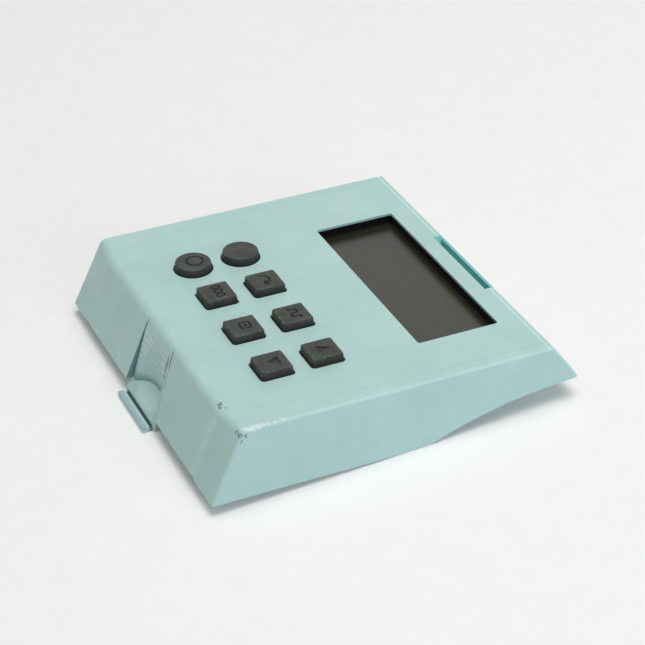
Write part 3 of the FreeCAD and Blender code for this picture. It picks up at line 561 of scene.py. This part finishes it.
def thumb_arcs(tree, place, colour):
    """Pale dust on the edges of the cutter's passes, which repeat with the depth as in the mesh, painted shade
    in the hollow just above the sloping ledge and in the lip's groove, and painted bluish shade on the lip."""
    y, z = add(tree, "SeparateXYZ", {}, {0: place}).outputs[1:]
    ledge = {"operation": "MULTIPLY_ADD", 1: -ledge_fall, 2: ledge_fall * ledge_inner - ledge_height}
    over = add(tree, "Math", ledge, {0: y}).outputs[0]
    over = add(tree, "Math", {"operation": "ADD"}, {0: over, 1: z}).outputs[0]
    hollow = {"From Min": scoop_from[0], "From Max": scoop_from[1]}
    in_hollow = add(tree, "MapRange", hollow, {"Value": over}).outputs[0]
    turned = (0.0, pass_y / pass_deep, pass_z / pass_deep)
    passes = add(tree, "VectorMath", {"operation": "DOT_PRODUCT", 1: turned}, {0: place}).outputs["Value"]
    saw = add(tree, "Math", {"operation": "FRACT"}, {0: passes}).outputs[0]
    ends = ((pass_low, pass_low + pass_fade), (pass_high, pass_high - pass_fade))
    shown = [add(tree, "MapRange", {"From Min": end, "From Max": inside}, {"Value": z}).outputs[0]
             for end, inside in ends]
    colour = stain(tree, colour, arc_mark, saw, *shown, in_hollow)
    colour = stain(tree, colour, painted_scoop_shade_mark, over, in_hollow)
    catch = {"From Min": catch_top[0], "From Max": catch_top[1]}
    low_down = add(tree, "MapRange", catch, {"Value": z}).outputs[0]
    colour = stain(tree, colour, painted_catch_lip_shade, y, low_down)
    return stain(tree, colour, painted_groove_shade_mark, away_from(tree, y, groove_y), low_down)


tongue.data.materials.append(moulded_abs("moulded_abs_latch", thumb_arcs, latch_glow))
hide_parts("latch_tongue")
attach(tongue, "latch")

# Keys: eight caps of grey silicone rubber, each with a flange that stays under the face and a round plunger
# below. The signs are sunk into the moulding. Tops are dull from wear, with pale dust and a painted highlight
# on the edges.

key_square = 6.2 / 2       # half width of the square keys
key_square_corner = 0.6
key_round = 7.15 / 2       # radius of the round keys
key_top_inset = 0.13       # key top inside its foot, each side
key_rise = 1.55            # key top above the face
key_top_round = 0.25
key_dome = 0.05            # the top's middle above its edge
flange_below_top = 3.35    # key top down to the flange
flange_thick = 0.9
flange_out = 0.7           # past the key's wall
plunger_radius = 1.9
sign_deep = 0.3
sign_edge = 0.07           # width of the sign's sloped wall
sign_stroke = 0.34
sign_up = 0.3              # signs sit a little towards the display
stop_ring = 1.6            # radius
jog_loop = (0.45, 0.75, 0.4)          # half width, half height and corner
jog_pitch = 1.4
program_frame = (0.95, 0.95, 0.3)
program_dot = 0.28
arrow_half = 1.15          # half width of the triangles' base
arrow_tall = 2.3
arrow_tip = 1.2            # from the sign's middle
ring_points = 320          # points around the key
top_rings = 64             # rings on its top, close enough for the sign's edges
round_rings = 8            # rings on the rounding


def reach(angle, half, corner):
    """How far a rounded square reaches from its middle in a direction: to its straight side, or to the
    corner's circle where the direction meets that. A corner as large as the half width gives a circle."""
    across = np.maximum(abs(np.cos(angle)), abs(np.sin(angle)))
    along = np.minimum(abs(np.cos(angle)), abs(np.sin(angle)))
    middle = half - corner
    straight = half / across
    arc = middle * (across + along) + np.sqrt(np.maximum(corner ** 2 - (middle * (across - along)) ** 2, 0))
    return np.where(straight * along <= middle, straight, arc)


def stroke(x, y, points):
    """Distance outside a line through the points, drawn with the sign's stroke."""
    nearest = np.full_like(x, np.inf)
    for (x0, y0), (x1, y1) in zip(points[:-1], points[1:]):
        run = np.clip(((x - x0) * (x1 - x0) + (y - y0) * (y1 - y0)) / ((x1 - x0) ** 2 + (y1 - y0) ** 2), 0, 1)
        nearest = np.minimum(nearest, np.hypot(x - x0 - run * (x1 - x0), y - y0 - run * (y1 - y0)))
    return nearest - sign_stroke / 2


def loop(x, y, half_x, half_y, corner):
    """Distance outside a rounded rectangle that is drawn as a line."""
    over_x = np.abs(x) - half_x + corner
    over_y = np.abs(y) - half_y + corner
    inside = np.minimum(np.maximum(over_x, over_y), 0)
    outside = np.hypot(np.maximum(over_x, 0), np.maximum(over_y, 0)) + inside
    return np.abs(outside - corner) - sign_stroke / 2


def stop_sign(x, y):
    """A ring: how far the distance from the middle is from the ring's radius."""
    return np.abs(np.hypot(x, y - sign_up) - stop_ring) - sign_stroke / 2


def start_sign(x, y):
    """A short upright bar."""
    return stroke(x, y, [(0.0, -1.1), (0.0, 1.3)])


def jog_sign(x, y):
    """Three small upright loops in a row."""
    shifts = (-jog_pitch, 0.0, jog_pitch)
    return np.minimum.reduce([loop(x - shift, y - sign_up, *jog_loop) for shift in shifts])


def reverse_sign(x, y):
    """An arrow that turns over: a bow through five points, with a two-stroke head at its end."""
    bow = stroke(x, y, [(-1.7, -0.5), (-1.2, 0.6), (-0.2, 0.95), (0.8, 0.6), (1.3, -0.4)])
    return np.minimum(bow, stroke(x, y, [(0.5, -0.1), (1.3, -0.5), (1.7, 0.25)]))


def program_sign(x, y):
    """A small square loop with a dot inside."""
    return np.minimum(loop(x, y - sign_up, *program_frame), np.hypot(x, y - sign_up) - program_dot)


def function_sign(x, y):
    """One and a half waves of a square wave."""
    return stroke(x, y, [(-1.7, -0.4), (-1.1, -0.4), (-1.1, 1.0), (0.0, 1.0), (0.0, -0.4), (1.1, -0.4),
                         (1.1, 1.0), (1.7, 1.0)])


def up_sign(x, y):
    """A solid triangle that points to the display: the farthest of its three sides."""
    tip = sign_up + arrow_tip
    side = (arrow_tall * np.abs(x) + arrow_half * (y - tip)) / math.hypot(arrow_half, arrow_tall)
    return np.maximum(side, tip - arrow_tall - y)


def down_sign(x, y):
    """The same triangle, turned round."""
    return up_sign(x, 2 * sign_up - y)


key_signs = {"stop": stop_sign, "start": start_sign, "jog": jog_sign, "reverse": reverse_sign,
             "program": program_sign, "function": function_sign, "down": down_sign, "up": up_sign}
round_keys = ("stop", "start")
worn_signs = {"start": 0.3}  # share of its depth that wear left


def key_piece(key):
    """One key from below to its middle on top: plunger, flange, wall, quarter-round edge and a slightly
    domed top, whose height falls by the sign's depth inside the sign."""
    low, high = box("key_" + key)
    middle_x, middle_y = ((low + high) / 2)[:2]
    half = key_round if key in round_keys else key_square
    corner = key_round if key in round_keys else key_square_corner
    face = high[2] - key_rise
    flange_top = high[2] - flange_below_top
    flange_under = flange_top - flange_thick
    edge = np.linspace(0, math.pi / 2, round_rings + 1)
    inwards = np.linspace(1, 0, top_rings + 1)[1:]
    inset = key_top_inset + key_top_round

    def outline(size):
        """One size of each ring, half width or corner, from the half width or corner of the key's wall."""
        plunger = [0, plunger_radius, plunger_radius]
        wall = [size + flange_out, size + flange_out, size, size]
        top = [*(size - inset + key_top_round * np.cos(edge)), *((size - inset) * inwards)]
        return np.array(plunger + wall + top)[:, None]

    halves, corners = outline(half), outline(corner)
    heights = np.array([low[2], low[2], flange_under, flange_under, flange_top, flange_top, face,
                        *(high[2] - key_top_round + key_top_round * np.sin(edge)),
                        *np.full(top_rings, high[2])])[:, None]
    angle = np.linspace(0, 2 * math.pi, ring_points, endpoint=False)[None, :]
    away = reach(angle, halves, corners)
    x, y = away * np.cos(angle), away * np.sin(angle)
    on_top = np.arange(len(halves))[:, None] >= len(halves) - top_rings - 1
    in_sign = np.clip(0.5 - key_signs[key](x, y) / sign_edge, 0, 1)
    sunk = np.where(on_top, in_sign, 0) * worn_signs.get(key, 1.0)
    dome = key_dome * np.minimum(halves / (half - inset), 1) ** 2 * (heights > face)
    z = heights - dome - sign_deep * sunk
    rim = np.clip(1 - np.abs(halves - half + inset) / (1.5 * key_top_round), 0, 1) * (heights > face)
    piece = ring_mesh(key + "_key_cap", x + middle_x, y + middle_y, z, sunk=sunk, rim=rim + 0 * angle)
    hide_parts("key_" + key)
    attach(piece, key + "_key")
    return piece


rubber_grey = "#31342F"
rubber_worn = "#3C3F3A"
rubber_patch_size = 2.5
rubber_fleck_size = 0.35
rubber_grain_deep = 0.01
rubber_ior = 1.43
rubber_roughness = (0.72, 0.6)             # from the dark to the worn patches
wall_shade = ("#171816", depth + 0.1, depth + 1.45, 0.95)   # the walls' feet are darker, by height
rim_dust_and_highlight = ("#8C908A", 0.75, 0.52, 0.6)    # pale dust and a painted highlight on the top edges, by the level of the flecks
sunk_sign_darkening = ("#262724", 1.0, 0.0, 1.0)     # darker inside the sunk signs, by the share of the sign's depth


def silicone_rubber(name, signed):
    """Silicone rubber: matt, dark, with soft lighter patches where fingers wore it. Sunk signs are darker, and
    pale flecks on the top edges stand for dust and a painted highlight. signed says that the piece has signs
    and edges."""
    material, tree, place = start_material(name)
    patches, colour = clouded(tree, place, rubber_grey, rubber_worn, rubber_patch_size, detail=4.0, low=0.4,
                              high=0.65)
    flecks = add(tree, "TexNoise", {"Scale": 1 / rubber_fleck_size, "Detail": 2.0}, {"Vector": place})
    flecks = flecks.outputs["Fac"]
    if signed:
        rim = add(tree, "Attribute", {"attribute_name": "rim"}, {}).outputs["Fac"]
        sunk = add(tree, "Attribute", {"attribute_name": "sunk"}, {}).outputs["Fac"]
        height = add(tree, "SeparateXYZ", {}, {0: place}).outputs[2]
        colour = stain(tree, colour, wall_shade, height)
        colour = stain(tree, colour, rim_dust_and_highlight, flecks, rim)
        colour = stain(tree, colour, sunk_sign_darkening, sunk)
    pits = {**noise_span, "To Min": 0.0, "To Max": rubber_grain_deep}
    grain = add(tree, "MapRange", pits, {"Value": flecks}).outputs[0]
    bump = add(tree, "Bump", {"Strength": 1.0, "Distance": mm}, {"Height": grain})
    dull = {**noise_span, "To Min": rubber_roughness[0], "To Max": rubber_roughness[1]}
    rough = add(tree, "MapRange", dull, {"Value": patches}).outputs[0]
    close_material(tree, {"IOR": rubber_ior},
                   {"Base Color": colour, "Roughness": rough, "Normal": bump.outputs[0]})
    return material


key_rubber = silicone_rubber("silicone_rubber_keys", True)
for key in key_signs:
    key_piece(key).data.materials.append(key_rubber)

# Keypad sheet and webs: the sheet lies on the board, and a thin cone springs each key back. They are moulded
# in one shot with the keys from the same silicone rubber.

web_bands = 10             # bands of each cone, cut across its mesh


def dress(material, *nodes):
    """Gives CAD nodes a material."""
    for node in nodes:
        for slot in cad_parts[node].material_slots:
            slot.material = material


def as_moulded(points):
    """Leaves the points where they are."""
    return points


sheet_rubber = silicone_rubber("silicone_rubber_sheet", False)
dress(sheet_rubber, "keypad_sheet")
for key in key_signs:
    low, high = (np.array(corner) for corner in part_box("web_" + key))
    folds = np.linspace(low[2], high[2], web_bands + 1)[1:-1] / mm
    web = reshaped("web_" + key, key + "_web", as_moulded, [(2, z) for z in folds])
    web.data.materials.append(sheet_rubber)
    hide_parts("web_" + key)
    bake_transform(web)

# Contact pills: discs of carbon-loaded rubber under the plungers, which bridge the contacts on the board.
# They are moulded first and bonded into the keypad as it cures.

pill_black = "#161616"
pill_grey = "#242424"
pill_speck_size = 0.4


def carbon_rubber():
    """Carbon-loaded rubber: black and matt, with fine grey specks of carbon."""
    material, tree, place = start_material("carbon_loaded_rubber")
    specks, colour = clouded(tree, place, pill_black, pill_grey, pill_speck_size, detail=3.0, low=0.45,
                             high=0.7)
    bump = add(tree, "Bump", {"Strength": 0.3, "Distance": 0.02 * mm}, {"Height": specks})
    close_material(tree, {"IOR": 1.5, "Roughness": 0.75}, {"Base Color": colour, "Normal": bump.outputs[0]})
    return material


dress(carbon_rubber(), *("pill_" + key for key in key_signs))

# Display: a liquid-crystal pane under an anti-glare film, dark while it is off. It stands on a black frame
# with rubber strips as contacts, and a black gasket closes it to the window from behind.

glass_dark = "#23241A"
glass_brown = "#2A2B20"
glass_shade_size = 22.0
glass_speck_gap = 1.5      # millimetres between specks of dust
glass_dust = ("#77776F", 0.05, 0.1, 0.5)   # by the distance from a speck's middle
glass_roughness = (0.23, 0.27)


def anti_glare_glass():
    """Anti-glare film on glass: a dark pane with a blurred, brownish reflection and a few specks of dust."""
    material, tree, place = start_material("anti_glare_display_glass")
    shade, colour = clouded(tree, place, glass_dark, glass_brown, glass_shade_size, detail=1.0)
    cells = add(tree, "TexVoronoi", {"Scale": 1 / glass_speck_gap, "Randomness": 1.0}, {"Vector": place})
    colour = stain(tree, colour, glass_dust, cells.outputs["Distance"])
    blur = {**noise_span, "To Min": glass_roughness[0], "To Max": glass_roughness[1]}
    rough = add(tree, "MapRange", blur, {"Value": shade}).outputs[0]
    close_material(tree, {"IOR": 1.5}, {"Base Color": colour, "Roughness": rough})
    return material


dress(anti_glare_glass(), "lcd_glass")

plastic_black = "#101111"
plastic_scuffed = "#181919"
plastic_grain_size = 0.35


def moulded_black(name, roughness, grain_deep, sheen):
    """Black moulded plastic or foam: a low sheen over a fine grain, a little paler where it is scuffed."""
    material, tree, place = start_material(name)
    grain, colour = clouded(tree, place, plastic_black, plastic_scuffed, plastic_grain_size, detail=3.0,
                            low=0.5, high=0.7)
    bump = add(tree, "Bump", {"Strength": 0.5, "Distance": grain_deep * mm}, {"Height": grain})
    close_material(tree, {"IOR": 1.5, "Roughness": roughness, "Specular IOR Level": sheen},
                   {"Base Color": colour, "Normal": bump.outputs[0]})
    return material


polycarbonate = moulded_black("black_polycarbonate", roughness=0.45, grain_deep=0.02, sheen=0.5)
dress(polycarbonate, "lcd_frame", "connector_shroud")
foam = moulded_black("closed_cell_foam", roughness=0.9, grain_deep=0.06, sheen=0.1)
dress(foam, "dust_gasket", "lcd_backing", "zebra_strips")

# Main board: glass-epoxy laminate under green solder resist, with tracks that stand out a little. It is
# screwed to the bosses of the housing.

resist_green = "#1E5B33"
resist_track = "#2C7142"
laminate = "#A89F6A"
track_pitch = 1.27         # millimetres, as all sizes
track_wide = 0.3
track_run = 9              # pitches between cross tracks
board_low, board_high = box("main_board")


def solder_resist():
    """Solder resist: glossy green over paler raised tracks, and straw-coloured laminate on the cut edges."""
    material, tree, place = start_material("solder_resist_on_glass_epoxy")
    pattern = {"Scale": 1.0, "Mortar Size": track_wide / 2, "Brick Width": track_run * track_pitch,
               "Row Height": track_pitch, "Color1": linear(resist_green), "Color2": linear(resist_green),
               "Mortar": linear(resist_track)}
    tracks = add(tree, "TexBrick", pattern, {"Vector": place})
    height = add(tree, "SeparateXYZ", {}, {0: place}).outputs[2]
    thick = (board_high[2] - board_low[2]) / 2
    level = away_from(tree, height, board_low[2] + thick)
    cut_edge = (laminate, 0.96 * thick, 0.99 * thick, 1.0)
    colour = stain(tree, tracks.outputs["Color"], cut_edge, level)
    bump = add(tree, "Bump", {"Strength": 0.6, "Distance": 0.03 * mm}, {"Height": tracks.outputs["Fac"]})
    close_material(tree, {"IOR": 1.5, "Roughness": 0.3}, {"Base Color": colour, "Normal": bump.outputs[0]})
    return material


dress(solder_resist(), "main_board")

# Chips: black epoxy bodies moulded around stamped and tinned leads, which are soldered flat on the board. The
# epoxy comes dull and finely pitted out of its mould.

epoxy_black = "#1C1C1E"
epoxy_grey = "#2A2A2C"
epoxy_grain_size = 0.25
tinned = ("#C9C8C2", 0.03, 0.01, 1.0)      # by the distance out of the body
lead_reach = {  # how far leads stand out across and along the panel
    "microcontroller": (1.0, 1.0), "memory_chip": (0.0, 1.0), "interface_chip": (0.0, 1.0),
    "voltage_regulator": (0.0, 1.0)}


def chip_epoxy(chip):
    """Moulded epoxy, dull and finely pitted. Whatever stands out of the body's sides is tinned metal."""
    material, tree, place = start_material("moulded_epoxy_" + chip)
    low, high = box(chip)
    reach_of_leads = np.array([*lead_reach[chip], 0])
    grain, colour = clouded(tree, place, epoxy_black, epoxy_grey, epoxy_grain_size, detail=2.0)
    beyond = beyond_box(tree, place, low + reach_of_leads, high - reach_of_leads)
    out = add(tree, "Math", {"operation": "MAXIMUM"}, {0: beyond[0], 1: beyond[1]}).outputs[0]
    colour = stain(tree, colour, tinned, out)
    bare = add(tree, "MapRange", {"From Min": tinned[2], "From Max": tinned[1]}, {"Value": out}).outputs[0]
    bump = add(tree, "Bump", {"Strength": 0.4, "Distance": 0.02 * mm}, {"Height": grain})
    close_material(tree, {"Roughness": 0.5},
                   {"Base Color": colour, "Metallic": bare, "Normal": bump.outputs[0]})
    return material


for chip in lead_reach:
    dress(chip_epoxy(chip), chip)

# Crystal, capacitors, plug pins and screws: small bright metal parts. The cans are drawn, the pins are
# stamped and gold flashed, and the screws are zinc plated.

metal_streak_size = 0.6
metal_duller = 0.12        # how much rougher the dull patches are


def plated_metal(name, colour, dull, roughness):
    """Bare or plated metal: bright, with cloudy dull patches where it was handled and oxidised."""
    material, tree, place = start_material(name)
    streaks, shade = clouded(tree, place, colour, dull, metal_streak_size, detail=4.0, low=0.4, high=0.7)
    blur = {**noise_span, "To Min": roughness, "To Max": roughness + metal_duller}
    rough = add(tree, "MapRange", blur, {"Value": streaks}).outputs[0]
    close_material(tree, {"Metallic": 1.0}, {"Base Color": shade, "Roughness": rough})
    return material


aluminium = plated_metal("drawn_aluminium_can", colour="#C8C9CB", dull="#A9AAAD", roughness=0.28)
dress(aluminium, "crystal", "capacitors")
brass = plated_metal("gold_flashed_brass", colour="#D9B25A", dull="#C29A45", roughness=0.22)
dress(brass, "connector_pins")
zinc = plated_metal("zinc_plated_steel", colour="#BFC3C6", dull="#9EA3A6", roughness=0.3)
dress(zinc, "board_screws", "cover_screws")

# Rear cover: a second moulding in the same ABS that follows the rim and closes the back. Screws hold it to
# the housing from behind.


def no_marks(tree, place, colour):
    """Leaves the moulding's colour as it is."""
    return colour


dress(moulded_abs("moulded_abs_cover", no_marks, abs_glow), "rear_cover")

# Floor: a white foam sheet with a faint dimpled skin. The panel lies on its catch lip and on the lowest part
# of its side walls, so the floor leans a little against the panel's own axes.

floor_white = "#FFFFFE"
floor_shade = "#F8F9F8"
floor_dimple_size = 5.0
floor_glow = 0.08          # share that glows through
floor_half = 900.0
shell = np.empty(3 * len(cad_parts["front_housing"].data.vertices))
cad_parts["front_housing"].data.vertices.foreach_get("co", shell)
shell = shell.reshape(-1, 3) / mm
ahead = shell[shell[:, 1] > 0]
floor_slope = ((ahead[:, 2] - latch_low[2]) / (ahead[:, 1] - latch_low[1])).min()


def floor_mesh():
    """A flat sheet that leans: its height is the lip's lowest point plus the slope times the way along."""
    x, y = np.meshgrid((-floor_half, floor_half), (-floor_half, floor_half))
    z = latch_low[2] + floor_slope * (y - latch_low[1])
    mesh = bpy.data.meshes.new("floor")
    mesh.from_pydata((np.stack([x, y, z], -1).reshape(-1, 3) * mm).tolist(), [], [(0, 1, 3, 2)])
    return mesh


def seen_straight(tree):
    """1 for what the eye sees, in a mirror or through glass too, and 0 for light that falls on things."""
    rays = add(tree, "LightPath", {}, {}).outputs
    seen = add(tree, "Math", {"operation": "MAXIMUM"}, {0: rays["Is Camera Ray"], 1: rays["Is Glossy Ray"]})
    seen = add(tree, "Math", {"operation": "MAXIMUM"}, {0: seen.outputs[0], 1: rays["Is Transmission Ray"]})
    return seen.outputs[0]


def foam_sheet():
    """White foam sheet: matt, nearly even, with a faint mottle. To the eye it glows through a little, so
    that it stays white around a soft shadow."""
    material, tree, place = start_material("white_foam_sheet")
    colour = clouded(tree, place, floor_white, floor_shade, floor_dimple_size, detail=2.0)[1]
    matt = {"Roughness": 0.9, "Specular IOR Level": 0.1}
    shader = add(tree, "BsdfPrincipled", matt, {"Base Color": colour})
    share = add(tree, "Math", {"operation": "MULTIPLY", 1: floor_glow}, {0: seen_straight(tree)})
    glow = add(tree, "Emission", {"Strength": 1.0}, {"Color": colour})
    both = add(tree, "MixShader", {}, {0: share.outputs[0], 1: shader.outputs[0], 2: glow.outputs[0]})
    add(tree, "OutputMaterial", {}, {"Surface": both.outputs[0]})
    return material


floor = put("floor", floor_mesh())
floor.data.materials.append(foam_sheet())

# Light: a white room with a large soft window above the panel and a weaker, bluish one at its side. Camera,
# mirror and clear rays see plain white, and the room lights the object at a lower level.

room_level = 0.27          # share of plain full light that the room gives
room_tone = "#FAFCFF"
world = bpy.data.worlds.new("white_room")
world.use_nodes = True
bpy.context.scene.world = world
room = world.node_tree
room.nodes.clear()
dim = add(room, "Background", {"Color": linear(room_tone), "Strength": room_level}, {})
white = add(room, "Background", {"Color": linear("#FFFFFF"), "Strength": 1.0}, {})
both = add(room, "MixShader", {}, {0: seen_straight(room), 1: dim.outputs[0], 2: white.outputs[0]})
add(room, "OutputWorld", {}, {"Surface": both.outputs[0]})


def lamp(name, place, size, share, tone):
    """A square lamp that looks at the panel. Share is the part of plain full light that it gives there, so
    its power is the share times pi squared times the distance squared."""
    data = bpy.data.lights.new(name, "AREA")
    place = Vector(place) * mm
    data.shape = "SQUARE"
    data.color = linear(tone)[:3]
    data.size = size * mm
    data.energy = share * math.pi ** 2 * place.length_squared
    turn = (-place).to_track_quat("-Z", "Y").to_matrix().to_4x4()
    put(name, data).matrix_world = Matrix.Translation(place) @ turn


lamp("window_light", place=(80.0, 90.0, 900.0), size=650.0, share=0.69, tone="#FFFDF8")
lamp("side_fill", place=(700.0, 150.0, 250.0), size=500.0, share=0.28, tone="#E6E8FF")

# Camera: at the photograph's viewpoint, in front of the right corner of the key end. Its lens and roll were
# solved from the window, the keys and the edges in the photograph.

camera_place = Vector((304.681, -134.239, 219.013))
camera_aim = Vector((-1.63, 2.34, 4.74))
camera_roll = -0.642       # degrees about the line of sight
camera_lens = 117.15       # millimetres
camera_sensor = 36.0       # millimetres wide
eye = bpy.data.cameras.new("camera")
eye.sensor_fit = "HORIZONTAL"
eye.sensor_width = camera_sensor
eye.lens = camera_lens
camera = put("camera", eye)
turn = (camera_aim - camera_place).to_track_quat("-Z", "Y").to_matrix().to_4x4()
camera.matrix_world = (Matrix.Translation(camera_place * mm) @ turn
                       @ Matrix.Rotation(math.radians(camera_roll), 4, "Z"))
bpy.context.scene.camera = camera
bpy.context.scene.view_settings.view_transform = "Standard"
